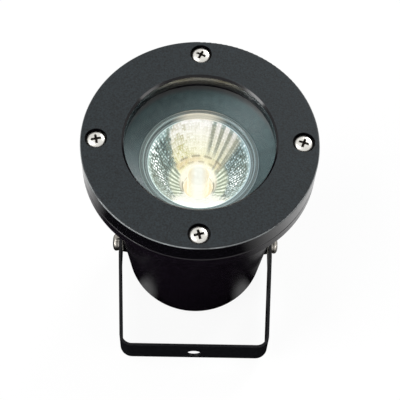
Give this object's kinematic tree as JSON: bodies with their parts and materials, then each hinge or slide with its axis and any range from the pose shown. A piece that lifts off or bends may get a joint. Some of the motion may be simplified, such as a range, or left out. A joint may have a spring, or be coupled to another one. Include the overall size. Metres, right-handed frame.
{
  "type": "submersible spotlight",
  "caption": "Round submersible spotlight: a tapered cast cup with a screwed face ring and lens over a reflector lamp, on a swinging U-shaped strip bracket.",
  "frame": {"origin": "centre of the flat rear end of the housing, where the cord leaves", "axes": "+Z along the beam, out through the lens; +X along the bracket's pivot axis; the bracket reaches towards -Y at rest"},
  "size_m": [0.096, 0.102, 0.108],
  "materials": {
    "black_paint": "die-cast aluminium with a glossy black powder coat",
    "charcoal_paint": "die-cast aluminium with a fine-textured charcoal powder coat",
    "lens_glass": "clear glass",
    "lamp_glass": "pressed glass with a dichroic coating",
    "lamp_ceramic": "unglazed steatite ceramic",
    "grey_silicone": "matte silicone",
    "black_rubber": "matte rubber",
    "stainless_steel": "bright stainless steel",
    "pin_metal": "drawn nickel-iron and tungsten wire",
    "zinc_steel": "zinc-plated steel",
    "brass": "turned brass",
    "nylon": "natural nylon",
    "gland_plastic": "black moulded nylon",
    "lead_sleeve": "silicone-sleeved wire",
    "bracket_paint": "steel strip with a black powder coat"
  },
  "bodies": {
    "lamp_head": {"housing": "black_paint", "face_ring": "charcoal_paint", "lens_glass": "lens_glass", "lens_gasket": "black_rubber", "face_screws": "stainless_steel", "lamp_ring": "grey_silicone", "lamp_reflector": "lamp_glass", "lamp_front_glass": "lens_glass", "lamp_base": "lamp_ceramic", "lamp_pins": "pin_metal", "lamp_capsule": "lens_glass", "lamp_filament": "pin_metal", "lamp_holder": "lamp_ceramic", "holder_contacts": "brass", "holder_screws": "zinc_steel", "holder_nuts": "zinc_steel", "holder_bridge": "zinc_steel", "bridge_screws": "zinc_steel", "terminal_block": "nylon", "terminal_tubes": "brass", "terminal_screws": "zinc_steel", "block_screw": "zinc_steel", "lamp_leads": "lead_sleeve", "gland_body": "gland_plastic", "gland_o_ring": "black_rubber", "gland_lock_nut": "gland_plastic", "gland_seal": "black_rubber", "gland_nut": "gland_plastic", "pivot_washers": "nylon", "pivot_lock_washers": "stainless_steel", "pivot_screws": "stainless_steel"},
    "bracket": {"mounting_bracket": "bracket_paint"}
  },
  "joints": [
    {"name": "bracket_swing", "type": "hinge", "parent": "lamp_head", "child": "bracket", "pos_m": [0, 0, 0.012], "axis": [1, 0, 0], "range_deg": [-38, 218]}
  ]
}
